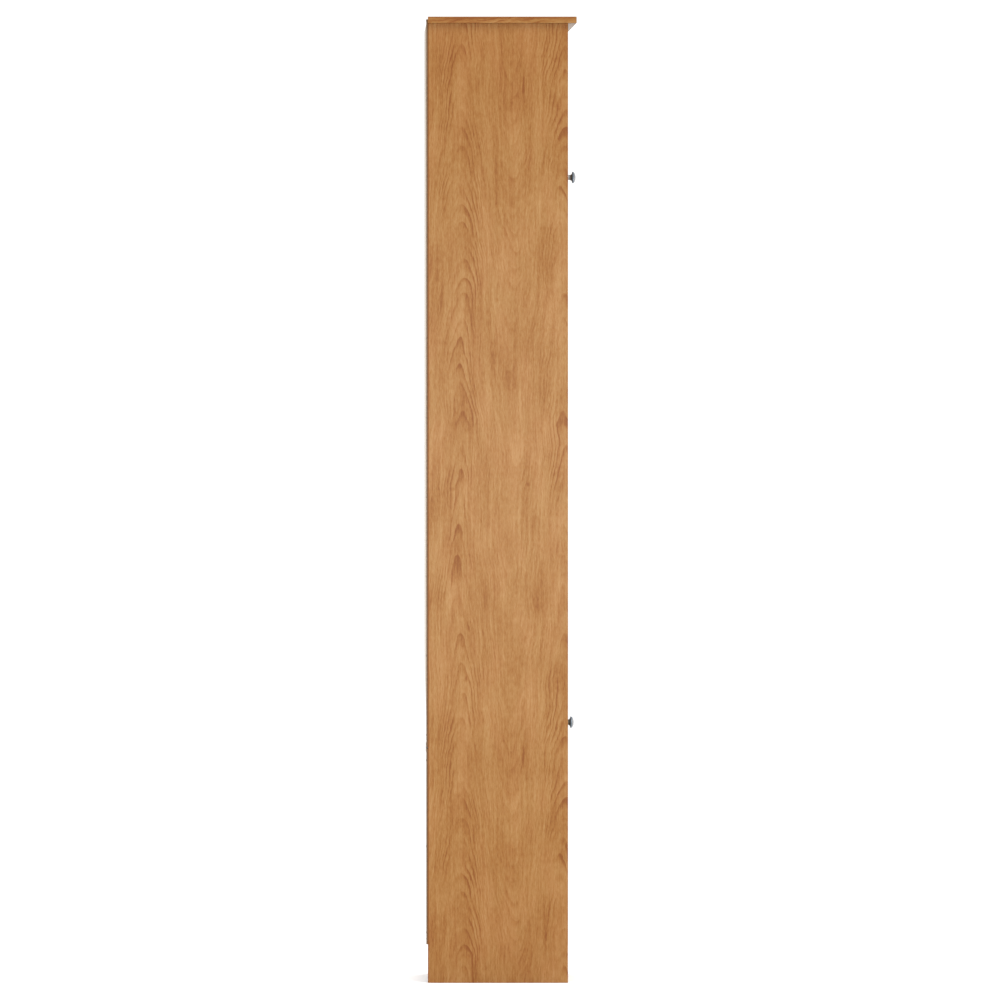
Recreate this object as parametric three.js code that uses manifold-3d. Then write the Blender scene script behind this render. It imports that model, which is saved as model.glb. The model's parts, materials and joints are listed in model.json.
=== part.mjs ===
// Tall, narrow pantry cabinet. A board carcass holds an upper door, an open niche and a lower door.
// Loose shelves rest on pins behind the doors, and a thin back in two sheets closes the carcass.
// Millimetres, +Z up. The front faces -Y. The origin is on the floor under the middle of the cabinet.
import * as THREE from "three";
import { mergeVertices } from "three/addons/utils/BufferGeometryUtils.js";
import Module from "manifold-3d";

// Overall size and board thicknesses. The width is the carcass's, and the top reaches past it at each side
const WIDTH = 400;
const TOP_SIDE_OVERHANG = 8;
const HEIGHT = 1800;
const BOARD = 15;
const TOP_THICKNESS = 12;
const SHEET_THICKNESS = 3;

// Depth lines, from front to back
const TOP_FRONT = -142;
const CARCASS_FRONT = -126;
const SHELF_FRONT = -90;
const SHELF_BACK = 133;
const BOARD_BACK = 135;
const SHEET_BACK = BOARD_BACK + SHEET_THICKNESS;

// Faces that several pieces share
const OUTSIDE = WIDTH / 2;
const INSIDE = OUTSIDE - BOARD;
const UNDER_TOP = HEIGHT - TOP_THICKNESS;

// Heights of the fixed boards
const PLINTH_HEIGHT = 72;
const NICHE_FLOOR = 878;
const NICHE_CEILING = 1213;
const TOP_RAIL_HEIGHT = 20;
const MOULDING_HEIGHT = 16;
const MOULDING_DEPTH = 15.5;

// Back sheets: the lower one is flat, and the upper one has bowed outwards between its nailed edges
const SHEET_JOINT = 438.5;
const SHEET_GAP = 3;
const SHEET_TOP = 1795;
const BOW = 4;
const BOW_TOP_RAMP = 18;
const BOW_FOOT = 460;
const BOW_FOOT_RAMP = 150;
const SHEET_COLUMNS = 12;
const SHEET_ROWS = 24;
const STRIP_FLANGE = 1;
const STRIP_HALF_HEIGHT = 8.5;
const STRIP_HALF_WEB = 1;
const STRIP_END_GAP = 0.5;

// Loose shelves, named by their undersides, and their pins
const SHELF_UNDERSIDES = { upper: 1482.5, middle: 592.5, lower: 328.5 };
const SHELF_SIDE_GAP = 0.5;
const PIN_ROWS = { front: -60, rear: 100 };
const PIN_RADIUS = 2.35;
const PIN_DROP = 2.5;
const PIN_HOLE_RADIUS = 2.7;
const PIN_HOLE_DEPTH = 9.5;
const PIN_HOLE_STEP = 32;
const PIN_IN_WOOD = 9;
const PIN_PROUD = 8;
const PIN_CHAMFER = 0.6;
const PIN_SIDES = 12;

// Doors: each is measured from its hinge axis, the front of the knuckle to the free edge
const AXIS_X = -181.5;
const AXIS_TO_FACE = 3.5;
const AXIS_TO_EDGE = -1;
const AXIS_TO_FREE_EDGE = 364.5;
const DOOR_THICKNESS = 16;
const DOOR_GAP = 2;
const UPPER_RECESS = 7;
const LOWER_RECESS = 10.5;
const FRAME_WIDTH = 60;
const GROOVE_FRONT = 5;
const GROOVE_WIDTH = 6.5;
const GROOVE_DEPTH = 9;
const TONGUE_LENGTH = 8;
const TONGUE_THICKNESS = 6;

// Hinges
const LEAF_THICKNESS = 1;
const LEAF_DEPTH = 14.5;
const LEAF_HEIGHT = 50;
const KNUCKLE_RADIUS = 3;
const KNUCKLE_BORE = 1.7;
const KNUCKLE_GAP = 0.4;
const KNUCKLE_SIDES = 20;
const HINGE_PIN_RADIUS = 1.5;
const HINGE_PIN_HEAD = 2.6;
const HINGE_PIN_HEAD_HEIGHT = 1.5;
const HINGE_INSET = { upper: 70, lower: 80 };

// Knobs and the screws that hold them
const KNOB_INSET = 30;
const KNOB_LENGTH = 22;
const KNOB_RADIUS = 11;
const KNOB_STEM_RADIUS = 4.85;
const KNOB_FOOT_RADIUS = 6;
const KNOB_STEM_LENGTH = 12.3;
const KNOB_RIM_START = 16.4;
const KNOB_RIM_END = 17;
const KNOB_BORE_RADIUS = 2.2;
const KNOB_BORE_DEPTH = 9;
const KNOB_SIDES = 32;
const DOME_STEPS = 6;
const SCREW_RADIUS = 2;
const SCREW_HOLE_RADIUS = 2.5;
const SCREW_HEAD_RADIUS = 4;
const SCREW_HEAD_HEIGHT = 2.5;
const SCREW_SIDES = 12;

// Magnetic catches and the strike plates on the doors
const CATCH_HEIGHT = { upper: 1555, lower: 540 };
const CATCH_WIDTH = 14;
const CATCH_DEPTH = 16;
const CATCH_LENGTH = 40;
const CATCH_EAR_LENGTH = 58;
const CATCH_EAR_THICKNESS = 2;
const CATCH_GAP = 0.5;
const STRIKE_WIDTH = 14;
const STRIKE_LENGTH = 36;
const STRIKE_THICKNESS = 1;
const STRIKE_EDGE = 1;
const STRIKE_HOLE_RADIUS = 1.75;

// Joins and cuts
const wasm = await Module();
wasm.setup();

function solid(geometry) {
  const bare = geometry.index ? geometry.toNonIndexed() : geometry.clone();
  bare.deleteAttribute("normal");
  bare.deleteAttribute("uv");
  const merged = mergeVertices(bare, 1e-3);
  return new wasm.Manifold(
    new wasm.Mesh({
      numProp: 3,
      vertProperties: merged.attributes.position.array,
      triVerts: new Uint32Array(merged.index.array),
    }),
  );
}

function geometryOf(body) {
  const { vertProperties, triVerts } = body.getMesh();
  const geometry = new THREE.BufferGeometry();
  geometry.setAttribute("position", new THREE.BufferAttribute(vertProperties, 3));
  geometry.setIndex(new THREE.BufferAttribute(triVerts, 1));
  geometry.computeVertexNormals();
  return geometry;
}

const join = (first, ...others) =>
  geometryOf(others.reduce((body, other) => body.add(solid(other)), solid(first)));

const cut = (first, ...tools) =>
  geometryOf(tools.reduce((body, tool) => body.subtract(solid(tool)), solid(first)));

// Shapes: spans are [low, high] pairs along each axis
function block(x, y, z) {
  const box = new THREE.BoxGeometry(x[1] - x[0], y[1] - y[0], z[1] - z[0]);
  return box.translate((x[0] + x[1]) / 2, (y[0] + y[1]) / 2, (z[0] + z[1]) / 2);
}

// A section drawn in the Y-Z plane, run along X
function alongX(points, x) {
  const section = new THREE.Shape(points.map(([y, z]) => new THREE.Vector2(y, z)));
  const bar = new THREE.ExtrudeGeometry(section, { depth: x[1] - x[0], bevelEnabled: false });
  const turn = new THREE.Matrix4().makeBasis(
    new THREE.Vector3(0, 1, 0),
    new THREE.Vector3(0, 0, 1),
    new THREE.Vector3(1, 0, 0),
  );
  return bar.applyMatrix4(turn).translate(x[0], 0, 0);
}

// A profile of [radius, distance along Y] points, turned round the Y axis
const turned = (points, sides) =>
  new THREE.LatheGeometry(points.map(([r, y]) => new THREE.Vector2(r, y)), sides);

// Materials
const finishes = {
  foil: [0xbc8856, 0.5, 0],
  raw: [0xcdbeb2, 0.9, 0],
  back: [0xe2dbd1, 0.8, 0],
  plastic: [0xf0ede6, 0.5, 0],
  pewter: [0x9a9a98, 0.35, 1],
  steel: [0xb4b4b4, 0.35, 1],
};

function piece(name, finish, geometry) {
  const [color, roughness, metalness] = finishes[finish];
  const mesh = new THREE.Mesh(geometry, new THREE.MeshStandardMaterial({ color, roughness, metalness }));
  mesh.name = name;
  return mesh;
}

// Carcass
function pinHole(side, y, z) {
  const depth = PIN_HOLE_DEPTH + 1;
  const hole = new THREE.CylinderGeometry(PIN_HOLE_RADIUS, PIN_HOLE_RADIUS, depth, PIN_SIDES);
  return hole.rotateZ(Math.PI / 2).translate(side * (INSIDE - 1 + depth / 2), y, z);
}

function sidePanel(name, side) {
  const holes = [];
  for (const underside of Object.values(SHELF_UNDERSIDES))
    for (const step of [-PIN_HOLE_STEP, 0, PIN_HOLE_STEP])
      for (const y of Object.values(PIN_ROWS)) holes.push(pinHole(side, y, underside - PIN_DROP + step));
  const x = side < 0 ? [-OUTSIDE, -INSIDE] : [INSIDE, OUTSIDE];
  return piece(name, "foil", cut(block(x, [CARCASS_FRONT, BOARD_BACK], [0, UNDER_TOP]), ...holes));
}

const betweenSides = (name, y, z) => piece(name, "foil", block([-INSIDE, INSIDE], y, z));

function fixedBoards() {
  const fullDepth = [CARCASS_FRONT, BOARD_BACK];
  const frontBoard = [CARCASS_FRONT, CARCASS_FRONT + BOARD];
  const topReach = OUTSIDE + TOP_SIDE_OVERHANG;
  return [
    piece("top_board", "foil", block([-topReach, topReach], [TOP_FRONT, BOARD_BACK], [UNDER_TOP, HEIGHT])),
    betweenSides("top_rail", frontBoard, [UNDER_TOP - TOP_RAIL_HEIGHT, UNDER_TOP]),
    betweenSides("fixed_shelf_upper", fullDepth, [NICHE_CEILING, NICHE_CEILING + BOARD]),
    betweenSides("fixed_shelf_lower", fullDepth, [NICHE_FLOOR - BOARD, NICHE_FLOOR]),
    betweenSides("bottom_panel", fullDepth, [PLINTH_HEIGHT, PLINTH_HEIGHT + BOARD]),
    betweenSides("plinth", frontBoard, [0, PLINTH_HEIGHT]),
  ];
}

// Triangular moulding that fills the corner under the overhang of the top
function corniceMoulding() {
  const section = [
    [CARCASS_FRONT, UNDER_TOP],
    [CARCASS_FRONT - MOULDING_DEPTH, UNDER_TOP],
    [CARCASS_FRONT, UNDER_TOP - MOULDING_HEIGHT],
  ];
  return piece("cornice_moulding", "raw", alongX(section, [-OUTSIDE, OUTSIDE]));
}

// Back sheets and the strip that joins them
function bowAt(x, z) {
  const across = Math.cos((Math.PI * x) / WIDTH);
  const fromTop = THREE.MathUtils.smoothstep(UNDER_TOP - z, 0, BOW_TOP_RAMP);
  const fromFoot = THREE.MathUtils.smoothstep(z - BOW_FOOT, 0, BOW_FOOT_RAMP);
  return BOW * across * fromTop * fromFoot;
}

// Its rows of points lie closer together near its ends, where the bow begins
function upperBackSheet() {
  const foot = SHEET_JOINT + SHEET_GAP / 2;
  const height = SHEET_TOP - foot;
  const sheet = new THREE.BoxGeometry(WIDTH, SHEET_THICKNESS, height, SHEET_COLUMNS, 1, SHEET_ROWS);
  const points = sheet.attributes.position;
  for (let i = 0; i < points.count; i++) {
    const share = points.getZ(i) / height + 0.5;
    const z = foot + (height * (1 - Math.cos(Math.PI * share))) / 2;
    const y = BOARD_BACK + SHEET_THICKNESS / 2 + points.getY(i) + bowAt(points.getX(i), z);
    points.setXYZ(i, points.getX(i), y, z);
  }
  return piece("back_sheet_upper", "back", sheet);
}

function lowerBackSheet() {
  const z = [PLINTH_HEIGHT, SHEET_JOINT - SHEET_GAP / 2];
  return piece("back_sheet_lower", "back", block([-OUTSIDE, OUTSIDE], [BOARD_BACK, SHEET_BACK], z));
}

function backJointStrip() {
  const [front, back] = [BOARD_BACK, SHEET_BACK];
  const half = [
    [front - STRIP_FLANGE, STRIP_HALF_HEIGHT],
    [front, STRIP_HALF_HEIGHT],
    [front, STRIP_HALF_WEB],
    [back, STRIP_HALF_WEB],
    [back, STRIP_HALF_HEIGHT],
    [back + STRIP_FLANGE, STRIP_HALF_HEIGHT],
  ];
  const mirrored = half.map(([y, z]) => [y, -z]).reverse();
  const section = [...half, ...mirrored].map(([y, z]) => [y, SHEET_JOINT + z]);
  const reach = INSIDE - STRIP_END_GAP;
  return piece("back_joint_strip", "plastic", alongX(section, [-reach, reach]));
}

// Loose shelves and their pins
function looseShelf(name, underside) {
  const reach = INSIDE - SHELF_SIDE_GAP;
  const z = [underside, underside + BOARD];
  return piece(`shelf_${name}`, "foil", block([-reach, reach], [SHELF_FRONT, SHELF_BACK], z));
}

function shelfPin(name, side, y, z) {
  const profile = [
    [0, -PIN_IN_WOOD],
    [PIN_RADIUS, -PIN_IN_WOOD],
    [PIN_RADIUS, PIN_PROUD - PIN_CHAMFER],
    [PIN_RADIUS - PIN_CHAMFER, PIN_PROUD],
    [0, PIN_PROUD],
  ];
  const mesh = piece(name, "steel", turned(profile, PIN_SIDES));
  mesh.position.set(side * INSIDE, y, z);
  mesh.rotation.z = (side * Math.PI) / 2;
  return mesh;
}

function shelfSet(name, underside) {
  const pins = [];
  for (const [sideName, side] of [["left", -1], ["right", 1]])
    for (const [row, y] of Object.entries(PIN_ROWS))
      pins.push(shelfPin(`shelf_pin_${name}_${sideName}_${row}`, side, y, underside - PIN_DROP));
  return [looseShelf(name, underside), ...pins];
}

// Door pieces, in a group whose origin is on the hinge axis at the door's lower edge
const doorFace = [AXIS_TO_FACE, AXIS_TO_FACE + DOOR_THICKNESS];
const grooveFace = [AXIS_TO_FACE + GROOVE_FRONT, AXIS_TO_FACE + GROOVE_FRONT + GROOVE_WIDTH];
const tongueStart = grooveFace[0] + (GROOVE_WIDTH - TONGUE_THICKNESS) / 2;
const tongueFace = [tongueStart, tongueStart + TONGUE_THICKNESS];
const hingeStile = [AXIS_TO_EDGE, AXIS_TO_EDGE + FRAME_WIDTH];
const knobStile = [AXIS_TO_FREE_EDGE - FRAME_WIDTH, AXIS_TO_FREE_EDGE];
const knobX = AXIS_TO_FREE_EDGE - KNOB_INSET;
const betweenStiles = [hingeStile[1], knobStile[0]];

const crossHole = (x, z, radius) =>
  new THREE.CylinderGeometry(radius, radius, 60, SCREW_SIDES).translate(x, AXIS_TO_FACE, z);

function stiles(name, height) {
  const long = [0, height];
  const past = [-1, height + 1];
  const hingeGroove = block([hingeStile[1] - GROOVE_DEPTH, hingeStile[1] + 1], grooveFace, past);
  const knobGroove = block([knobStile[0] - 1, knobStile[0] + GROOVE_DEPTH], grooveFace, past);
  const hole = crossHole(knobX, height / 2, SCREW_HOLE_RADIUS);
  return [
    piece(`${name}_stile_hinge`, "foil", cut(block(hingeStile, doorFace, long), hingeGroove)),
    piece(`${name}_stile_knob`, "foil", cut(block(knobStile, doorFace, long), knobGroove, hole)),
  ];
}

// inward is +1 where the panel lies above the rail and -1 where it lies below
function rail(name, z, inward) {
  const tongues = [betweenStiles[0] - TONGUE_LENGTH, betweenStiles[1] + TONGUE_LENGTH];
  const body = join(block(betweenStiles, doorFace, z), block(tongues, tongueFace, z));
  const lip = inward > 0 ? z[1] : z[0];
  const groove = [lip - inward * GROOVE_DEPTH, lip + inward].sort((a, b) => a - b);
  const past = [tongues[0] - 1, tongues[1] + 1];
  return piece(name, "foil", cut(body, block(past, grooveFace, groove)));
}

function doorPanel(name, height) {
  const x = [betweenStiles[0] - TONGUE_LENGTH, betweenStiles[1] + TONGUE_LENGTH];
  const z = [FRAME_WIDTH - TONGUE_LENGTH, height - FRAME_WIDTH + TONGUE_LENGTH];
  return piece(`${name}_panel`, "foil", block(x, tongueFace, z));
}

// The knob grows from the door's face towards -Y, round the screw that comes through the door
function knob(name, height) {
  const profile = [
    [0, KNOB_BORE_DEPTH],
    [KNOB_BORE_RADIUS, KNOB_BORE_DEPTH],
    [KNOB_BORE_RADIUS, 0],
    [KNOB_FOOT_RADIUS, 0],
    [KNOB_STEM_RADIUS, KNOB_STEM_LENGTH / 2],
    [KNOB_STEM_RADIUS, KNOB_STEM_LENGTH],
    [KNOB_RADIUS, KNOB_RIM_START],
  ];
  for (let i = 0; i < DOME_STEPS; i++) {
    const angle = ((Math.PI / 2) * i) / DOME_STEPS;
    const rise = (KNOB_LENGTH - KNOB_RIM_END) * Math.sin(angle);
    profile.push([KNOB_RADIUS * Math.cos(angle), KNOB_RIM_END + rise]);
  }
  profile.push([0, KNOB_LENGTH]);
  const outward = profile.map(([r, h]) => [r, -h]).reverse();
  const mesh = piece(`${name}_knob`, "pewter", turned(outward, KNOB_SIDES));
  mesh.position.set(knobX, AXIS_TO_FACE, height / 2);
  return mesh;
}

function knobScrew(name, height) {
  const back = DOOR_THICKNESS;
  const profile = [
    [0, 1 - KNOB_BORE_DEPTH],
    [SCREW_RADIUS, 1 - KNOB_BORE_DEPTH],
    [SCREW_RADIUS, back],
    [SCREW_HEAD_RADIUS, back],
    [SCREW_HEAD_RADIUS, back + SCREW_HEAD_HEIGHT / 2],
    [SCREW_HEAD_RADIUS / 2, back + SCREW_HEAD_HEIGHT],
    [0, back + SCREW_HEAD_HEIGHT],
  ];
  const mesh = piece(`${name}_knob_screw`, "steel", turned(profile, SCREW_SIDES));
  mesh.position.set(knobX, AXIS_TO_FACE, height / 2);
  return mesh;
}

function strikePlate(name, z) {
  const x = [AXIS_TO_FREE_EDGE - STRIKE_EDGE - STRIKE_WIDTH, AXIS_TO_FREE_EDGE - STRIKE_EDGE];
  const y = [doorFace[1], doorFace[1] + STRIKE_THICKNESS];
  const plate = block(x, y, [z - STRIKE_LENGTH / 2, z + STRIKE_LENGTH / 2]);
  const hole = crossHole((x[0] + x[1]) / 2, z, STRIKE_HOLE_RADIUS);
  return piece(`${name}_strike_plate`, "steel", cut(plate, hole));
}

function magnetCatch(name, doorBack, z) {
  const front = doorBack + STRIKE_THICKNESS + CATCH_GAP;
  const y = [front, front + CATCH_DEPTH];
  const ear = [INSIDE - CATCH_EAR_THICKNESS, INSIDE];
  const body = block([INSIDE - CATCH_WIDTH, INSIDE], y, [z - CATCH_LENGTH / 2, z + CATCH_LENGTH / 2]);
  const ears = block(ear, y, [z - CATCH_EAR_LENGTH / 2, z + CATCH_EAR_LENGTH / 2]);
  return piece(`magnet_catch_${name}`, "plastic", join(body, ears));
}

// Hinges: the frame leaf carries the two outer knuckles and the door leaf the middle one
function knuckle(z) {
  const ring = new THREE.Shape().absarc(0, 0, KNUCKLE_RADIUS, 0, 2 * Math.PI);
  ring.holes.push(new THREE.Path().absarc(0, 0, KNUCKLE_BORE, 0, 2 * Math.PI));
  const options = { depth: z[1] - z[0], bevelEnabled: false, curveSegments: KNUCKLE_SIDES / 2 };
  return new THREE.ExtrudeGeometry(ring, options).translate(0, 0, z[0]);
}

const knuckleCuts = [-LEAF_HEIGHT / 2, -LEAF_HEIGHT / 5, LEAF_HEIGHT / 5, LEAF_HEIGHT / 2];
const leafBehind = [AXIS_TO_FACE, AXIS_TO_FACE + LEAF_DEPTH];
const leafHeight = [-LEAF_HEIGHT / 2, LEAF_HEIGHT / 2];
const bore = new THREE.CylinderGeometry(KNUCKLE_BORE, KNUCKLE_BORE, 2 * LEAF_HEIGHT, KNUCKLE_SIDES);
bore.rotateX(Math.PI / 2);

function leafWithKnuckles(x, spans) {
  const plate = block(x, leafBehind, leafHeight);
  const arms = spans.flatMap((z) => [knuckle(z), block(x, [0, AXIS_TO_FACE], z)]);
  return cut(join(plate, ...arms), bore);
}

function frameLeaf(name) {
  const side = -INSIDE - AXIS_X;
  const spans = [
    [knuckleCuts[0], knuckleCuts[1] - KNUCKLE_GAP],
    [knuckleCuts[2] + KNUCKLE_GAP, knuckleCuts[3]],
  ];
  return piece(`${name}_frame_leaf`, "steel", leafWithKnuckles([side, side + LEAF_THICKNESS], spans));
}

function doorLeaf(name) {
  const x = [AXIS_TO_EDGE - LEAF_THICKNESS, AXIS_TO_EDGE];
  const geometry = leafWithKnuckles(x, [[knuckleCuts[1], knuckleCuts[2]]]);
  return piece(`${name}_door_leaf`, "steel", geometry);
}

function hingePin(name) {
  const top = LEAF_HEIGHT / 2 + KNUCKLE_GAP;
  const profile = [
    [0, -LEAF_HEIGHT / 2],
    [HINGE_PIN_RADIUS, -LEAF_HEIGHT / 2],
    [HINGE_PIN_RADIUS, top],
    [HINGE_PIN_HEAD, top],
    [HINGE_PIN_HEAD, top + HINGE_PIN_HEAD_HEIGHT / 2],
    [HINGE_PIN_HEAD / 2, top + HINGE_PIN_HEAD_HEIGHT],
    [0, top + HINGE_PIN_HEAD_HEIGHT],
  ];
  return piece(`${name}_pin`, "steel", turned(profile, KNUCKLE_SIDES).rotateX(Math.PI / 2));
}

// A door with its knob, strike plate and hinges, in the opening from z[0] to z[1]
function doorSet(level, opening, recess) {
  const name = `door_${level}`;
  const bottom = opening[0] + DOOR_GAP;
  const height = opening[1] - opening[0] - 2 * DOOR_GAP;
  const face = CARCASS_FRONT + recess;
  const door = new THREE.Group();
  door.position.set(AXIS_X, face - AXIS_TO_FACE, bottom);
  door.add(...stiles(name, height), doorPanel(name, height));
  door.add(rail(`${name}_rail_bottom`, [0, FRAME_WIDTH], 1));
  door.add(rail(`${name}_rail_top`, [height - FRAME_WIDTH, height], -1));
  door.add(knob(name, height), knobScrew(name, height));
  door.add(strikePlate(name, CATCH_HEIGHT[level] - bottom));
  const places = { low: HINGE_INSET[level], high: height - HINGE_INSET[level] };
  for (const [place, z] of Object.entries(places)) {
    const hinge = new THREE.Group();
    hinge.position.z = z;
    const hingeName = `hinge_${level}_${place}`;
    hinge.add(frameLeaf(hingeName), doorLeaf(hingeName), hingePin(hingeName));
    door.add(hinge);
  }
  return [door, magnetCatch(level, face + DOOR_THICKNESS, CATCH_HEIGHT[level])];
}

const group = new THREE.Group();
group.add(sidePanel("side_panel_left", -1), sidePanel("side_panel_right", 1));
group.add(...fixedBoards(), corniceMoulding());
group.add(lowerBackSheet(), upperBackSheet(), backJointStrip());
for (const [name, underside] of Object.entries(SHELF_UNDERSIDES)) group.add(...shelfSet(name, underside));
const upperOpening = [NICHE_CEILING + BOARD, UNDER_TOP - TOP_RAIL_HEIGHT];
const lowerOpening = [PLINTH_HEIGHT + BOARD, NICHE_FLOOR - BOARD];
group.add(...doorSet("upper", upperOpening, UPPER_RECESS));
group.add(...doorSet("lower", lowerOpening, LOWER_RECESS));

export default group;
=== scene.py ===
"""Looks of the pantry cabinet: printed wood foil, pale back sheets, pewter knobs and small steel hardware.

Everything is in metres in the frame of the CAD model: +Z up, the front faces -Y, the floor is at z = 0.
"""

import json
import math

import bmesh
import bpy
from mathutils import Matrix, Vector


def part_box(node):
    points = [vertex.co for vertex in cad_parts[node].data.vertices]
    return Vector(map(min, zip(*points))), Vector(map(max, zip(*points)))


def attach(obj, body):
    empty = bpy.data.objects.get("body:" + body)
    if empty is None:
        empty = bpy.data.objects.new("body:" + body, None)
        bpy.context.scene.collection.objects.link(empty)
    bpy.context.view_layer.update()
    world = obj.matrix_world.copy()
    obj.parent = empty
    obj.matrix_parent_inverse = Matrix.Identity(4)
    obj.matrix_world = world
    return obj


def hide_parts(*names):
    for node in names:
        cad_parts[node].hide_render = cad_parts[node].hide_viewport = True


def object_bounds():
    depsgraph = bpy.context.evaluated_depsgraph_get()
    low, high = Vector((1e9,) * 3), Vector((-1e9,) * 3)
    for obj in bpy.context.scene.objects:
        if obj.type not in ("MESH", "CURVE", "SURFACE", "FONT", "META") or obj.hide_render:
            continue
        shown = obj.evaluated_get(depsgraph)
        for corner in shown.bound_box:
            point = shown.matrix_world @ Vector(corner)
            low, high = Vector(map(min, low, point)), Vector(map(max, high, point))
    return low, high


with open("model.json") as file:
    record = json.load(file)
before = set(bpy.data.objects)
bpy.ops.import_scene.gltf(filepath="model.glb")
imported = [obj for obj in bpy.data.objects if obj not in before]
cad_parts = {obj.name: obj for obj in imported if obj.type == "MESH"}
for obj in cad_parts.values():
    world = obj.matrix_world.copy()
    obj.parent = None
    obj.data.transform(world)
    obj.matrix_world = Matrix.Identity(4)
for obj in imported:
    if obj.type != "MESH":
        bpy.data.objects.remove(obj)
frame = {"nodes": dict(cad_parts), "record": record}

CAD_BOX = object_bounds()
MM = 0.001
TAU = 2 * math.pi

# The camera stands level with the cabinet's top, far off to its left side
VIEW_DISTANCE = 41.0
VIEW_ASIDE = 0.7 * MM
PICTURE_SHARE = 0.9668      # of the picture's height, which the cabinet fills
SENSOR = 36.0

# Light: a white room, a soft lamp facing each of the four sides and one overhead
ROOM_LEVEL = 1.12
LAMP_HEIGHT = 0.95
SIDE_LAMPS = {"left": (-1.55, 0.0), "front": (0.0, -1.50), "right": (1.55, 0.0), "back": (0.0, 1.60)}
SIDE_LAMP_SIZE = 1.0
SIDE_LAMP_POWER = 9.2
TOP_LAMP_PLACE = (-1.3, -0.4, 3.6)
TOP_LAMP_SIZE = 1.2
TOP_LAMP_POWER = 24.0
FLOOR_SIZE = 60.0

# How bright a white surface looks in this light, and the foil's sheen
LIGHT = 1.74
FOIL_SHEEN = 0.044

# The foil's print, measured on the left side panel: "across" is the distance in front of or behind the
# middle, and "along" is the height
REPEAT = 1.2474             # the print repeats along the grain
ARCH_ACROSS = 0.0745        # the arches' middle line
VALLEY_ACROSS = -0.0223     # the middle line of the figures that point down
SWING = 2 * (ARCH_ACROSS - VALLEY_ACROSS)
LINE_SPACING = 4.2 * MM
ARCHES = 27                 # in one repeat
ARCH_ALONG = 1.45           # where the arches stand closest
ARCH_CROWDING = 0.4         # 0 where they are evenly spaced, 1 where they thin out to nothing
# Small marks of the print: across, along, half width, half length, depth
MARKS = (
    (-0.052, 0.929, 3.5 * MM, 4.5 * MM, 0.9),
    (0.0875, 0.920, 3.5 * MM, 4.0 * MM, 0.6),
    (0.065, 0.566, 4.0 * MM, 6.0 * MM, 0.7),
    (-0.043, 1.668, 2.5 * MM, 24.0 * MM, 0.9),
    (0.050, 1.265, 5.0 * MM, 60.0 * MM, 0.4),
)

# The middle of the print's tone, which is 0 to 1, and how much each layer changes it. The end and rear-edge
# depths are painted shade
MIDDLE_TONE = 0.56
BAND_DEPTH = 0.85
PATCH_DEPTH = 0.95
STREAK_DEPTH = 0.75
FIBRE_DEPTH = 1.15
PORE_DEPTH = 0.17
MARK_DEPTH = 0.45
# painted shade at the top and the foot of the upright boards
END_SHADE_DEPTH = 0.08
# painted shade along the side panels' rear edge
REAR_SHADE_DEPTH = 0.75
REDNESS = 0.45              # the most that the redder colours show

KNOB_LENGTH = 22 * MM
KNOB_STEPS = 96

# Screws and cams: the radius of the head and the rise of its dome
HINGE_SCREW = (2.3 * MM, 0.12 * MM)
CATCH_SCREW = (3.2 * MM, 0.9 * MM)
STRIKE_SCREW = (2.6 * MM, 0.25 * MM)
CAM = (7.5 * MM, 0.25 * MM)

# Each hinge screw's place on its leaf: a share of its depth, and a share of its height above its middle
HINGE_SCREW_PLACES = ((0.42, -0.32), (0.6, 0.0), (0.42, 0.32))
LEAF_THICKNESS = 1 * MM

# The catch: its screws' distance from its ends and depth in its ears, and its two keeper plates
CATCH_SCREW_INSET = 4.5 * MM
CATCH_EAR = 2 * MM
KEEPER_SIZE = (1.2 * MM, 3.0 * MM, 30 * MM)
KEEPER_ASIDE = 3.2 * MM
KEEPER_SINK = 1.2 * MM
STRIKE_SINK = 0.1 * MM

# The cams' middles: their distance from the side panel and from the board's front and rear edges
CAM_INSET = 24 * MM
CAM_EDGE_GAP = 50 * MM

# Nails of the back sheets: their distance from the sheets' sides, from their ends and from each other, and
# how much closer they are along the ends
NAIL_INSET = 7.5 * MM
NAIL_TOP_INSET = 3.0 * MM
NAIL_END_GAP = 22 * MM
NAIL_SPACING = 150 * MM
NAIL_END_CLOSENESS = 0.8

# Bevels and smooth shading of the CAD pieces
SMOOTH_BELOW = math.radians(28)
BEVEL_ABOVE = math.radians(40)
SAME_POINT = 0.02 * MM


# ---------------------------------------------------------------- materials: the node builder
class Value:
    """A number that varies over a surface: a node's output that arithmetic works on."""

    def __init__(self, net, socket):
        self.net = net
        self.socket = socket

    def __add__(self, other):
        return self.net.math("ADD", self, other)

    def __sub__(self, other):
        return self.net.math("SUBTRACT", self, other)

    def __rsub__(self, other):
        return self.net.math("SUBTRACT", other, self)

    def __mul__(self, other):
        return self.net.math("MULTIPLY", self, other)

    def __truediv__(self, other):
        return self.net.math("DIVIDE", self, other)

    __radd__ = __add__
    __rmul__ = __mul__


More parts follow.
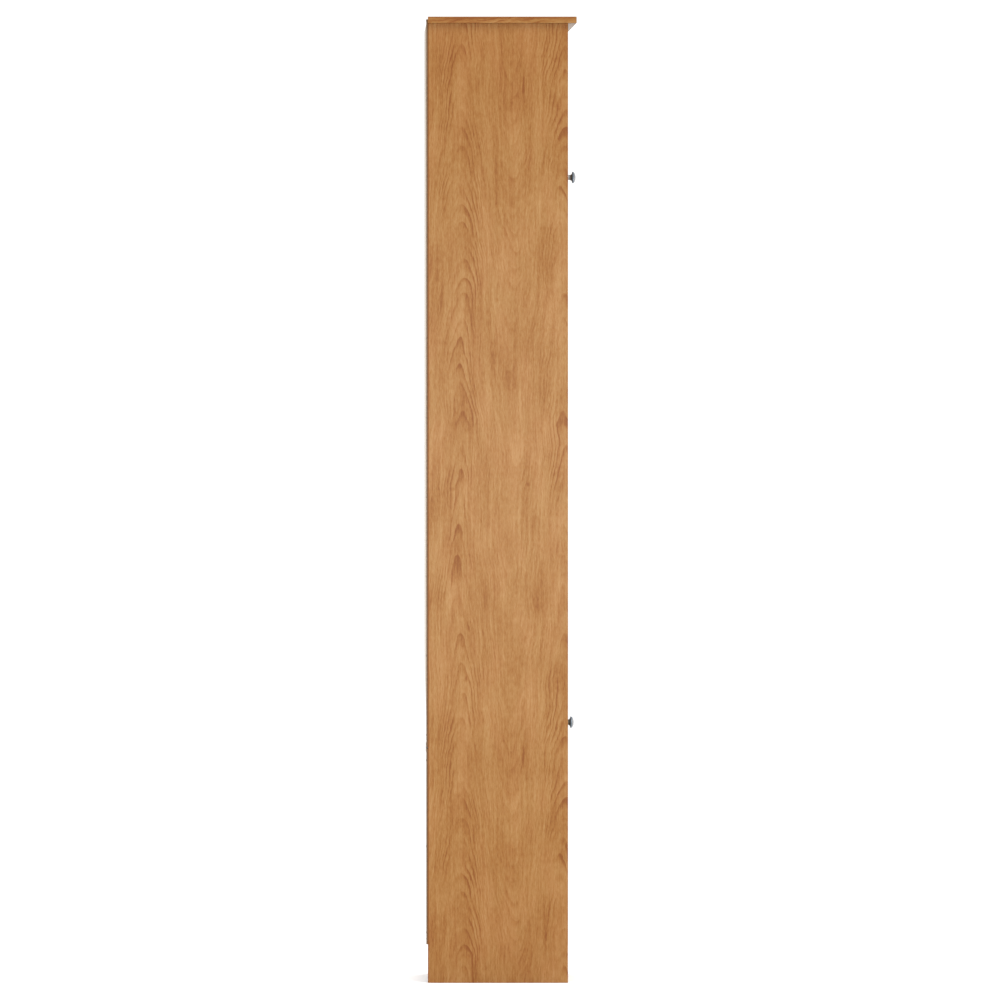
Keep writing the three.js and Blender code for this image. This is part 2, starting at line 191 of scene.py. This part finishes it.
class Net:
    """The nodes of one material."""

    def __init__(self, name, roughness=0.5, metallic=0.0, specular=0.5):
        self.material = bpy.data.materials.new(name)
        self.material.use_nodes = True
        self.tree = self.material.node_tree
        self.shader = self.tree.nodes["Principled BSDF"]
        self.shader.inputs["Roughness"].default_value = roughness
        self.shader.inputs["Metallic"].default_value = metallic
        self.shader.inputs["Specular IOR Level"].default_value = specular

    def put(self, socket, value):
        if isinstance(value, Value):
            value = value.socket
        if isinstance(value, bpy.types.NodeSocket):
            self.tree.links.new(value, socket)
        else:
            socket.default_value = value

    def add(self, kind, inputs, **settings):
        node = self.tree.nodes.new("ShaderNode" + kind)
        for key, value in settings.items():
            setattr(node, key, value)
        for key, value in inputs.items():
            self.put(node.inputs[key], value)
        return node

    def math(self, operation, *values):
        node = self.add("Math", dict(enumerate(values)), operation=operation)
        return Value(self, node.outputs[0])

    def vector(self, x, y, z=0.0):
        return self.add("CombineXYZ", {"X": x, "Y": y, "Z": z}).outputs[0]

    def split(self, vector):
        node = self.add("SeparateXYZ", {"Vector": vector})
        return [Value(self, out) for out in node.outputs]

    def place(self):
        """X, Y and Z of the surface point, in the frame."""
        return self.split(self.add("TexCoord", {}).outputs["Object"])

    def facing(self):
        """X, Y and Z of the surface's direction."""
        return self.split(self.add("TexCoord", {}).outputs["Normal"])

    def noise(self, vector, scale=1.0, detail=2.0, roughness=0.5):
        inputs = {"Vector": vector, "Scale": scale, "Detail": detail, "Roughness": roughness}
        return Value(self, self.add("TexNoise", inputs).outputs["Fac"])

    def between(self, value, low, high):
        """0 below low, 1 above high and smooth between them."""
        inputs = {"Value": value, "From Min": low, "From Max": high}
        node = self.add("MapRange", inputs, interpolation_type="SMOOTHSTEP")
        return Value(self, node.outputs["Result"])

    def ramp(self, factor, stops):
        node = self.add("ValToRGB", {"Fac": factor})
        elements = node.color_ramp.elements
        while len(elements) < len(stops):
            elements.new(0.5)
        for element, (position, color) in zip(elements, stops):
            element.position = position
            element.color = (*color, 1.0)
        return node.outputs["Color"]

    def mix(self, factor, first, second):
        node = self.add("Mix", {0: factor, 6: first, 7: second}, data_type="RGBA")
        return node.outputs[2]

    def bump(self, height, distance, strength=1.0):
        inputs = {"Height": height, "Distance": distance, "Strength": strength}
        self.put(self.shader.inputs["Normal"], self.add("Bump", inputs).outputs["Normal"])

    def color(self, value):
        self.put(self.shader.inputs["Base Color"], value)

    def roughness(self, value):
        self.put(self.shader.inputs["Roughness"], value)


def printed(red, green, blue, sheen=0.0):
    """The base colour that shows as this colour on a screen, 0 to 255, in this light."""
    shown = [(channel / 255) ** 2.2 for channel in (red, green, blue)]
    return tuple(max((value - sheen) / LIGHT, 0.004) for value in shown)


def wood_print(red, green, blue):
    return printed(red, green, blue, FOIL_SHEEN)


# ---------------------------------------------------------------- materials: wood foil
def grain_turn(net, along, size):
    """Two coordinates that come back to their start after one repeat of the print."""
    angle = along * (TAU / REPEAT)
    return net.math("COSINE", angle) * size, net.math("SINE", angle) * size


def ring_number(net, across, along):
    """Rises by one from each grain line to the next: arches and valleys side by side."""
    rows = net.math("COSINE", (across - ARCH_ACROSS) * (TAU / SWING))
    wave = net.math("SINE", (along - ARCH_ALONG) * (TAU / REPEAT))
    climb = (along / REPEAT + wave * (ARCH_CROWDING / TAU)) * ARCHES
    return rows * (-SWING / TAU / LINE_SPACING) + climb, rows


def print_marks(net, across, along):
    """Knots and short dark streaks, from 0 to 1."""
    total = None
    for mark_across, mark_along, half_width, half_length, depth in MARKS:
        beside = (across - mark_across) / half_width
        height = net.math("WRAP", along - mark_along, REPEAT / 2, -REPEAT / 2) / half_length
        inside = 1.0 - net.math("MINIMUM", (beside * beside + height * height) * 0.5, 1.0)
        mark = inside * inside * depth
        total = mark if total is None else total + mark
    return total


def wandering(net, across, along):
    """The across coordinate, pushed aside by slow, middling and short waves: no line is straight."""
    slow = net.noise(net.vector(across * 7.0, *grain_turn(net, along, 1.1)), detail=1.0)
    middle = net.noise(net.vector(across * 26.0, *grain_turn(net, along, 4.2)), detail=2.0)
    short = net.noise(net.vector(across * 110.0, along * 42.0), detail=2.0)
    return across + (slow - 0.5) * 0.032 + (middle - 0.5) * 0.012 + (short - 0.5) * 0.0022


def foil_tone(net, across, along):
    """Brightness of the print around 0.5, its redness and the depth of its pores."""
    wandered = wandering(net, across, along)
    rings, rows = ring_number(net, wandered, along)
    bands = net.noise(net.vector(rings * 0.8, *grain_turn(net, along, 1.6)), detail=4.0, roughness=0.65)
    phase = net.math("FRACT", rings + bands * 1.6)
    line = net.between(phase, 0.42, 0.90) * (1.0 - net.between(phase, 0.90, 1.0))
    fading = net.noise(net.vector(across * 17.0, *grain_turn(net, along, 2.0)), detail=1.0)
    strength = net.between(fading, 0.38, 0.64) * (0.15 + 0.35 * net.between(rows, 0.1, 0.9))
    patch = net.noise(net.vector(across * 24.0, *grain_turn(net, along, 1.7)), detail=3.0)
    streak = net.noise(net.vector((wandered + across) * 115.0, along * 5.0), detail=3.0, roughness=0.6)
    fibre = net.noise(net.vector(across * 420.0, along * 85.0), detail=4.0, roughness=0.72)
    pores = net.between(net.noise(net.vector(across * 1500.0, along * 90.0), detail=1.0), 0.60, 0.72)
    tone = MIDDLE_TONE - line * strength + (bands - 0.5) * BAND_DEPTH + (patch - 0.5) * PATCH_DEPTH
    tone = tone + (streak - 0.5) * STREAK_DEPTH + (fibre - 0.5) * FIBRE_DEPTH
    tone = tone - pores * PORE_DEPTH - print_marks(net, across, along) * MARK_DEPTH
    clouds = net.noise(net.vector(across * 26.0, *grain_turn(net, along, 1.9)))
    redness = net.between(clouds, 0.42, 0.66)
    return tone, redness, pores


def painted_end_shade(net):
    """Painted shade: the upright boards are drawn redder and darker towards their top, below the top board,
    and a little darker at their foot, where the light falls off.
    """
    height = net.place()[2]
    return net.between(height, 1.52, 1.86) + 0.5 * (1.0 - net.between(height, 0.04, 0.34))


def foil(name, run, shift=(0.0, 0.0), shade=None):
    """Printed alder-like foil whose grain runs along z or x of the frame. shade(net) gives darker places.

    On a board that runs along x, the grain of the end edges runs along y.
    """
    net = Net(name, specular=0.27)
    x, y, z = net.place()
    across, along = x + y, z
    if run == "x":
        at_end = net.between(net.math("ABSOLUTE", net.facing()[0]), 0.4, 0.6)
        along = x + at_end * (y - x)
        across = y + at_end * (x - y) + z
    tone, redness, pores = foil_tone(net, across + shift[0], along + shift[1])
    if run == "z":
        # painted shade: darker and redder towards the top and the foot
        end_shade = painted_end_shade(net)
        tone = tone - end_shade * END_SHADE_DEPTH
        redness = redness + end_shade
    if shade:
        dark = shade(net)
        tone = tone - dark
        redness = redness * (1.0 - net.between(dark, 0.1, 0.3))
    plain = net.ramp(tone, [
        (0.00, wood_print(161, 104, 58)),
        (0.30, wood_print(180, 125, 76)),
        (0.50, wood_print(189, 138, 87)),
        (0.70, wood_print(197, 148, 96)),
        (1.00, wood_print(208, 161, 109)),
    ])
    red = net.ramp(tone, [
        (0.00, wood_print(160, 98, 54)),
        (0.50, wood_print(187, 129, 81)),
        (1.00, wood_print(206, 153, 103)),
    ])
    net.wood = net.mix(redness * REDNESS, plain, red)
    net.color(net.wood)
    net.roughness(0.46 + pores * 0.12 - tone * 0.06)
    net.bump(1.0 - pores, 0.05 * MM, 0.5)
    return net


def painted_rear_shade(net):
    """Painted shade: the side panels' foil is darker along their rear edge, in the corner beside the back
    sheet.
    """
    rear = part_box("side_panel_left")[1].y
    return net.between(net.place()[1], rear - 2.4 * MM, rear - 1.2 * MM) * REAR_SHADE_DEPTH


def top_edges(net):
    """The edge band of the top board is darker than its faces, most of all along its upper edge."""
    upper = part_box("top_board")[1].z
    on_edge = 1.0 - net.between(net.math("ABSOLUTE", net.facing()[2]), 0.5, 0.8)
    rim = net.between(net.place()[2], upper - 9.0 * MM, upper - 1.0 * MM)
    return on_edge * (0.06 + 0.30 * rim)


# ---------------------------------------------------------------- materials: the others
def moulding():
    """Foil on the moulding's sloping face and raw board at its sawn ends."""
    net = foil("moulding_foil", "x", (0.02, 0.31))
    x, y, z = net.place()
    chips = net.noise(net.vector(x, y, z), scale=800.0, detail=3.0, roughness=0.7)
    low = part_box("cornice_moulding")[0]
    skin = 1.0 - net.between((y - low.y) + (z - low.z), 15.5 * MM, 19.5 * MM)
    end = net.ramp(chips - skin * 0.25, [
        (0.10, printed(150, 132, 118)),
        (0.50, printed(212, 199, 188)),
        (0.80, printed(228, 218, 209)),
    ])
    at_end = net.between(net.math("ABSOLUTE", net.facing()[0]), 0.7, 0.9)
    net.color(net.mix(at_end, net.wood, end))
    return net.material


def back_board():
    """Thin fibre sheet: printed inside, pale outside and darker towards its top, brown at its cut edges."""
    net = foil("back_sheet_foil", "z", (0.11, 0.52))
    x, y, z = net.place()
    fibres = net.noise(net.vector(x * 420.0, y * 420.0, z * 160.0), detail=4.0, roughness=0.7)
    flecks = net.noise(net.vector(x, y, z), scale=150.0, detail=2.0)
    cloud = net.noise(net.vector(x, y, z), scale=5.0, detail=2.0)
    # the pale outside gets darker towards the top of the sheet
    top_darkening = net.between(z, 1.50, 1.76)
    pale = net.ramp(fibres * 0.48 + flecks * 0.36 + cloud * 0.16 - top_darkening * 0.14, [
        (0.20, printed(190, 172, 156)),
        (0.40, printed(222, 208, 192)),
        (0.50, printed(232, 220, 206)),
        (0.65, printed(240, 230, 218)),
    ])
    brown = net.ramp(fibres, [
        (0.3, printed(104, 74, 48)),
        (0.7, printed(150, 114, 80)),
    ])
    facing = net.facing()[1]
    outside = net.between(facing, 0.6, 0.8)
    inside = 1.0 - net.between(facing, -0.8, -0.6)
    net.color(net.mix(inside, net.mix(outside, brown, pale), net.wood))
    net.roughness(0.55 + outside * 0.3)
    net.bump(fibres, 0.05 * MM, 0.5)
    return net.material


def pewter(name, base):
    """Cast satin metal whose colour along the knob paints its reflections: a lighter neck, a dark bluish
    flare behind the rim that is painted reflection of dark surroundings together with patina in the hollow,
    and a painted highlight on the dome.

    base is where the knob meets the door, along y.
    """
    net = Net(name, metallic=0.6)
    x, y, z = net.place()
    mottle = net.noise(net.vector(x, y, z), scale=900.0, detail=3.0, roughness=0.6)
    height = (base - y) / KNOB_LENGTH + (mottle - 0.5) * 0.05
    # painted reflections along the knob: lighter neck, dark flare with patina, highlight band on the dome
    # darkening to its tip
    net.color(net.ramp(height, [
        (0.00, (0.160, 0.158, 0.152)),
        (0.38, (0.400, 0.396, 0.388)),
        (0.54, (0.205, 0.245, 0.275)),
        (0.70, (0.098, 0.140, 0.180)),
        (0.80, (0.088, 0.125, 0.165)),
        (0.88, (0.250, 0.252, 0.256)),
        (0.93, (0.270, 0.271, 0.275)),
        (0.99, (0.190, 0.192, 0.196)),
    ]))
    net.roughness(0.30 + mottle * 0.14)
    net.bump(mottle, 0.04 * MM, 0.4)
    return net.material


def steel(name, dark, bright):
    """Plated steel with fine rolling marks; dark and bright are the ends of its grey range."""
    net = Net(name, metallic=1.0)
    x, y, z = net.place()
    marks = net.noise(net.vector(x * 1600.0, y * 1600.0, z * 90.0), detail=3.0)
    cloud = net.noise(net.vector(x, y, z), scale=160.0)
    net.color(net.ramp(cloud, [
        (0.3, (dark, dark, 0.97 * dark)),
        (0.7, (bright, bright, 0.97 * bright)),
    ]))
    net.roughness(0.26 + marks * 0.18)
    net.bump(marks, 0.02 * MM, 0.4)
    return net.material


def plastic():
    """Moulded off-white plastic with a faint texture."""
    net = Net("white_plastic")
    x, y, z = net.place()
    point = net.vector(x, y, z)
    cloud = net.noise(point, scale=45.0)
    grains = net.noise(point, scale=2400.0, detail=1.0)
    net.color(net.ramp(cloud, [
        (0.3, printed(222, 216, 205)),
        (0.7, printed(236, 231, 221)),
    ]))
    net.roughness(0.38 + grains * 0.14)
    net.bump(grains, 0.02 * MM, 0.5)
    return net.material


def floor_paint():
    """Pale matt floor."""
    net = Net("pale_floor", roughness=0.9, specular=0.1)
    x, y, z = net.place()
    cloud = net.noise(net.vector(x, y, z), scale=1.5)
    net.color(net.ramp(cloud, [(0.3, (0.96, 0.96, 0.96)), (0.7, (0.98, 0.98, 0.98))]))
    return net.material


# ---------------------------------------------------------------- edges of the CAD pieces
def smoothing_group():
    """Modifier nodes that join split corners and shade round surfaces smoothly. Corners stay sharp."""
    group = bpy.data.node_groups.new("smooth_rounds", "GeometryNodeTree")
    group.interface.new_socket("Geometry", in_out="INPUT", socket_type="NodeSocketGeometry")
    group.interface.new_socket("Geometry", in_out="OUTPUT", socket_type="NodeSocketGeometry")
    nodes, link = group.nodes, group.links.new
    start = nodes.new("NodeGroupInput")
    merge = nodes.new("GeometryNodeMergeByDistance")
    merge.inputs["Distance"].default_value = SAME_POINT
    faces = nodes.new("GeometryNodeSetShadeSmooth")
    edges = nodes.new("GeometryNodeSetShadeSmooth")
    edges.domain = "EDGE"
    edges.inputs["Shade Smooth"].default_value = False
    angle = nodes.new("GeometryNodeInputMeshEdgeAngle")
    corner = nodes.new("FunctionNodeCompare")
    corner.inputs["B"].default_value = SMOOTH_BELOW
    end = nodes.new("NodeGroupOutput")
    link(start.outputs[0], merge.inputs["Geometry"])
    link(merge.outputs["Geometry"], faces.inputs["Geometry"])
    link(faces.outputs["Geometry"], edges.inputs["Geometry"])
    link(angle.outputs["Unsigned Angle"], corner.inputs["A"])
    link(corner.outputs["Result"], edges.inputs["Selection"])
    link(edges.outputs["Geometry"], end.inputs[0])
    return group


def soften(piece, width, segments=2):
    """Rounds a CAD piece's corners by width."""
    piece.modifiers.new("smooth", "NODES").node_group = SMOOTHING
    bevel = piece.modifiers.new("edges", "BEVEL")
    bevel.width = width
    bevel.segments = segments
    bevel.limit_method = "ANGLE"
    bevel.angle_limit = BEVEL_ABOVE
    bevel.harden_normals = True


def paint(piece, material):
    piece.data.materials.clear()
    piece.data.materials.append(material)


# ---------------------------------------------------------------- new pieces
def new_piece(name, mesh, material, body):
    piece = bpy.data.objects.new(name, mesh)
    bpy.context.scene.collection.objects.link(piece)
    paint(piece, material)
    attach(piece, body)
    return piece


def pointing(direction):
    """The shortest turn that takes +Z to the direction."""
    return Vector((0, 0, 1)).rotation_difference(Vector(direction)).to_matrix().to_4x4()


def turned_mesh(profile, place, direction, steps=64):
    """A profile of (radius, height) points, which starts and ends on the axis, turned about it."""
    shape = bmesh.new()
    loops = []
    for radius, height in profile:
        if radius == 0:
            loops.append([shape.verts.new((0, 0, height))] * steps)
            continue
        angles = [TAU * i / steps for i in range(steps)]
        loops.append([shape.verts.new((radius * math.cos(a), radius * math.sin(a), height)) for a in angles])
    for low, high in zip(loops, loops[1:]):
        for i in range(steps):
            j = (i + 1) % steps
            corners = dict.fromkeys((low[i], low[j], high[j], high[i]))
            shape.faces.new(list(corners))
    return finished(shape, place, direction)


def finished(shape, place, direction, sharp=32):
    bmesh.ops.recalc_face_normals(shape, faces=shape.faces)
    for face in shape.faces:
        face.smooth = True
    for edge in shape.edges:
        edge.smooth = len(edge.link_faces) == 2 and edge.calc_face_angle() < math.radians(sharp)
    bmesh.ops.transform(shape, matrix=Matrix.Translation(place) @ pointing(direction), verts=shape.verts)
    mesh = bpy.data.meshes.new("mesh")
    shape.to_mesh(mesh)
    shape.free()
    return mesh


def arc(centre, radii, start, end, steps):
    """Points on an ellipse between two angles in degrees."""
    points = []
    for i in range(steps + 1):
        angle = math.radians(start + (end - start) * i / steps)
        points.append((centre[0] + radii[0] * math.cos(angle), centre[1] + radii[1] * math.sin(angle)))
    return points


def knob_profile(radius, length):
    """A small foot, a slim neck, a flare under a round rim, and a low dome."""
    neck = 4.85 * MM
    flare_start = 11.0 * MM
    rim = 1.1 * MM
    rim_place = (radius - rim, 16.8 * MM)
    dome_base = 16.6 * MM
    profile = [(0, 0), (6.0 * MM, 0), (6.2 * MM, 0.5 * MM), (5.9 * MM, 1.2 * MM), (5.1 * MM, 2.6 * MM)]
    profile += [(neck, 5.0 * MM), (neck, flare_start)]
    flare = (neck - rim_place[0], rim_place[1] - rim - flare_start)
    profile += arc((rim_place[0], flare_start), flare, 10, 84, 10)
    profile += arc(rim_place, (rim, rim), -86, 34, 9)
    profile += arc((0, dome_base), (radius - 0.08 * MM, length - dome_base), 13, 86, 14)
    return profile + [(0, length)]


def build_knob(level):
    node = f"door_{level}_knob"
    low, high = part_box(node)
    centre = (low + high) / 2
    place = Vector((centre.x, high.y, centre.z))
    profile = knob_profile((high.z - low.z) / 2, high.y - low.y)
    mesh = turned_mesh(profile, place, (0, -1, 0), KNOB_STEPS)
    metal = pewter(f"pewter_{level}", place.y)
    knob = new_piece(f"knob_{level}", mesh, metal, f"door_{level}")
    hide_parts(node)


def screw_head_mesh(place, direction, radius, rise):
    """A low dome with a cross recess, pressed into a fine round grid."""
    shape = bmesh.new()
    rings, steps = 14, 48
    half_slot, reach, depth = radius * 0.13, radius * 0.62, rise + radius * 0.22
    loops = []
    for r in range(rings + 1):
        share = r / rings
        loop = []
        for i in range(steps):
            x = radius * share * math.cos(TAU * i / steps)
            y = radius * share * math.sin(TAU * i / steps)
            across, out = sorted((abs(x), abs(y)))
            sunk = depth if across < half_slot and out < reach else 0.0
            loop.append(shape.verts.new((x, y, rise * (1 - share**2) - sunk)))
            if r == 0:
                loop *= steps
                break
        loops.append(loop)
    loops.append([shape.verts.new((v.co.x, v.co.y, -0.4 * MM)) for v in loops[-1]])
    for inner, outer in zip(loops, loops[1:]):
        for i in range(steps):
            j = (i + 1) % steps
            shape.faces.new(list(dict.fromkeys((inner[i], outer[i], outer[j], inner[j]))))
    shape.faces.new(list(reversed(loops[-1])))
    return finished(shape, place, direction, sharp=40)


def hinge_screws(level, place):
    """Countersunk screws in both leaves of one hinge."""
    frame_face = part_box("side_panel_left")[1].x + LEAF_THICKNESS
    door_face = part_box(f"door_{level}_stile_hinge")[0].x - LEAF_THICKNESS
    leaves = (("frame", "carcass", 1, frame_face), ("door", f"door_{level}", -1, door_face))
    for leaf, body, side, face in leaves:
        low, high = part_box(f"hinge_{level}_{place}_{leaf}_leaf")
        middle = (low.z + high.z) / 2
        for number, (depth, up) in enumerate(HINGE_SCREW_PLACES, 1):
            point = Vector((face, low.y + (high.y - low.y) * depth, middle + up * (high.z - low.z)))
            mesh = screw_head_mesh(point, (side, 0, 0), *HINGE_SCREW)
            name = f"hinge_screw_{level}_{place}_{leaf}_{number}"
            new_piece(name, mesh, STEEL, body)


def keeper_mesh(place):
    """A thin upright plate with rounded edges."""
    shape = bmesh.new()
    bmesh.ops.create_cube(shape, size=1, matrix=Matrix.Diagonal((*KEEPER_SIZE, 1)))
    bmesh.ops.bevel(shape, geom=shape.edges, offset=0.25 * MM, segments=2, affect="EDGES")
    return finished(shape, place, (0, 0, 1))


def catch_fittings(level):
    """The catch's screws and keeper plates, and the strike plate's screw."""
    low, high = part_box(f"magnet_catch_{level}")
    middle = (low + high) / 2
    for end, z in (("low", low.z + CATCH_SCREW_INSET), ("high", high.z - CATCH_SCREW_INSET)):
        mesh = screw_head_mesh(Vector((high.x - CATCH_EAR, middle.y, z)), (-1, 0, 0), *CATCH_SCREW)
        new_piece(f"catch_screw_{level}_{end}", mesh, STEEL, "carcass")
    for row, x in (("inner", middle.x - KEEPER_ASIDE), ("outer", middle.x + KEEPER_ASIDE)):
        mesh = keeper_mesh(Vector((x, low.y + KEEPER_SINK, middle.z)))
        new_piece(f"catch_keeper_{level}_{row}", mesh, STEEL, "carcass")
    low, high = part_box(f"door_{level}_strike_plate")
    point = Vector(((low.x + high.x) / 2, high.y - STRIKE_SINK, (low.z + high.z) / 2))
    mesh = screw_head_mesh(point, (0, 1, 0), *STRIKE_SCREW)
    new_piece(f"strike_screw_{level}", mesh, STEEL, f"door_{level}")


def along_edge(start, end, spacing):
    """Evenly spaced points from start to end."""
    count = max(2, round((end - start).length / spacing) + 1)
    return [start.lerp(end, i / (count - 1)) for i in range(count)]


def nail_head(shape, point):
    """A thin round head lying on the sheet, with a slightly domed face."""
    profile = [(1.9 * MM, -0.2 * MM), (1.9 * MM, 0.30 * MM), (1.3 * MM, 0.50 * MM)]
    steps = 20
    loops = []
    for radius, height in profile:
        angles = [TAU * i / steps for i in range(steps)]
        ring = [Vector((radius * math.cos(a), height, radius * math.sin(a))) for a in angles]
        loops.append([shape.verts.new(point + offset) for offset in ring])
    for low, high in zip(loops, loops[1:]):
        for i in range(steps):
            j = (i + 1) % steps
            shape.faces.new((low[i], high[i], high[j], low[j]))
    shape.faces.new(loops[0])
    shape.faces.new(list(reversed(loops[-1])))


def on_sheet(sheet, point):
    """The point moved along Y onto the sheet's outer face, which may be bowed."""
    found, place, *_ = sheet.ray_cast(Vector((point.x, 1.0, point.z)), Vector((0, -1, 0)))
    return place if found else point


def back_nails():
    """Nails along both sides of each sheet, and along the top and the bottom panel."""
    for level in ("upper", "lower"):
        sheet = frame["nodes"][f"back_sheet_{level}"]
        low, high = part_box(sheet.name)
        side = high.x - NAIL_INSET
        bottom = low.z + NAIL_END_GAP
        top = high.z - (NAIL_TOP_INSET if level == "upper" else NAIL_END_GAP)
        rows = [(Vector((x, 0, bottom)), Vector((x, 0, top)), NAIL_SPACING) for x in (-side, side)]
        end = top if level == "upper" else low.z + NAIL_INSET
        reach = side - NAIL_SPACING / 2
        closer = NAIL_END_CLOSENESS * NAIL_SPACING
        rows.append((Vector((-reach, 0, end)), Vector((reach, 0, end)), closer))
        shape = bmesh.new()
        for start, stop, spacing in rows:
            for point in along_edge(start, stop, spacing):
                nail_head(shape, on_sheet(sheet, point))
        mesh = finished(shape, Vector((0, 0, 0)), (0, 0, 1))
        new_piece(f"back_nails_{level}", mesh, NAIL_STEEL, "carcass")


def cam_fittings(board):
    """Round cams in the underside of a fixed board, two at each end, which pull it to the sides."""
    low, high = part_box(board)
    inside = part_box("side_panel_right")[0].x
    for side_name, side in (("left", -1), ("right", 1)):
        for row, y in (("front", low.y + CAM_EDGE_GAP), ("rear", high.y - CAM_EDGE_GAP)):
            point = Vector((side * (inside - CAM_INSET), y, low.z))
            mesh = screw_head_mesh(point, (0, 0, -1), *CAM)
            new_piece(f"cam_{board}_{side_name}_{row}", mesh, STEEL, "carcass")


# ---------------------------------------------------------------- stage, light and camera
def lamp(name, place, size, power):
    """A round soft lamp that points at the middle of the cabinet's height."""
    data = bpy.data.lights.new(name, "AREA")
    data.shape = "DISK"
    data.size = size
    data.energy = power
    light = bpy.data.objects.new(name, data)
    bpy.context.scene.collection.objects.link(light)
    light.location = place
    light.visible_camera = False
    towards = Vector((0, 0, LAMP_HEIGHT)) - light.location
    light.rotation_euler = towards.to_track_quat("-Z", "Y").to_euler()


def make_lamps():
    for side, (x, y) in SIDE_LAMPS.items():
        lamp(f"{side}_lamp", (x, y, LAMP_HEIGHT), SIDE_LAMP_SIZE, SIDE_LAMP_POWER)
    lamp("top_lamp", TOP_LAMP_PLACE, TOP_LAMP_SIZE, TOP_LAMP_POWER)


def make_stage():
    world = bpy.data.worlds.new("white_room")
    world.use_nodes = True
    background = world.node_tree.nodes["Background"]
    background.inputs["Color"].default_value = (1.0, 1.0, 1.0, 1.0)
    background.inputs["Strength"].default_value = ROOM_LEVEL
    bpy.context.scene.world = world
    mesh = bpy.data.meshes.new("floor")
    half = FLOOR_SIZE / 2
    corners = [(-half, -half, 0), (half, -half, 0), (half, half, 0), (-half, half, 0)]
    mesh.from_pydata(corners, [], [(0, 1, 2, 3)])
    floor = bpy.data.objects.new("floor", mesh)
    bpy.context.scene.collection.objects.link(floor)
    paint(floor, floor_paint())


def make_camera():
    low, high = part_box("side_panel_left")
    top = CAD_BOX[1].z
    data = bpy.data.cameras.new("camera")
    data.sensor_width = SENSOR
    data.lens = SENSOR * VIEW_DISTANCE * PICTURE_SHARE / top
    data.clip_end = 3 * VIEW_DISTANCE
    camera = bpy.data.objects.new("camera", data)
    bpy.context.scene.collection.objects.link(camera)
    camera.location = (low.x - VIEW_DISTANCE, VIEW_ASIDE, high.z)
    target = Vector((low.x, VIEW_ASIDE, top / 2))
    camera.rotation_euler = (target - camera.location).to_track_quat("-Z", "Y").to_euler()
    bpy.context.scene.camera = camera
    bpy.context.scene.view_settings.view_transform = "Standard"


# ---------------------------------------------------------------- the object
# What several pieces share
SMOOTHING = smoothing_group()
STEEL = steel("zinc_steel", 0.30, 0.44)
NAIL_STEEL = steel("nail_steel", 0.16, 0.26)


def foil_choices():
    """A foil for each group of boards, each cut from another place of the print.

    Each pair holds a part of a node's name and its material. The first that fits a node counts.
    """
    left = -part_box("side_panel_left")[0].x
    # both side panels get painted shade along their rear edge
    side_left = foil("foil_side_left", "z", (left, 0.0), painted_rear_shade)
    side_right = foil("foil_side_right", "z", (-left, 0.47), painted_rear_shade)
    shelves = foil("foil_shelves", "x", (0.21, 0.9))
    top = foil("foil_top", "x", (0.05, 0.35), top_edges)
    stiles = foil("foil_stiles", "z", (0.29, 0.66))
    rails = foil("foil_rails", "x", (0.44, 0.18))
    panels = foil("foil_panels", "z", (0.068, 0.25))
    choices = [
        ("side_panel_left", side_left), ("side_panel_right", side_right), ("top_board", top),
        ("stile", stiles), ("rail", rails), ("door_upper_panel", panels), ("door_lower_panel", panels),
        ("plinth", rails), ("", shelves),
    ]
    return [(key, net.material) for key, net in choices]


def dress_frame():
    """Gives each CAD piece its material and its rounded corners."""
    special = {"cornice_moulding": moulding(), "back_sheet_upper": back_board()}
    special["back_sheet_lower"] = special["back_sheet_upper"]
    by_slot = {"steel": STEEL, "white_plastic": plastic(), "satin_metal": STEEL}
    corners = {"wood_foil": 0.7, "back_sheet": 0.25, "raw_board": 0.4, "white_plastic": 0.5}
    choices = foil_choices()
    slots = {part["node"]: part["material_slot"] for part in frame["record"]["subparts"]}
    for name, node in frame["nodes"].items():
        slot = slots[name]
        material = special.get(name) or by_slot.get(slot)
        if material is None:
            material = next(choice for key, choice in choices if key in name)
        paint(node, material)
        soften(node, corners.get(slot, 0.15) * MM)


make_stage()
make_lamps()
make_camera()
dress_frame()
for level in ("upper", "lower"):
    build_knob(level)
    catch_fittings(level)
    for place in ("low", "high"):
        hinge_screws(level, place)
back_nails()
for board in ("fixed_shelf_upper", "fixed_shelf_lower", "top_board"):
    cam_fittings(board)
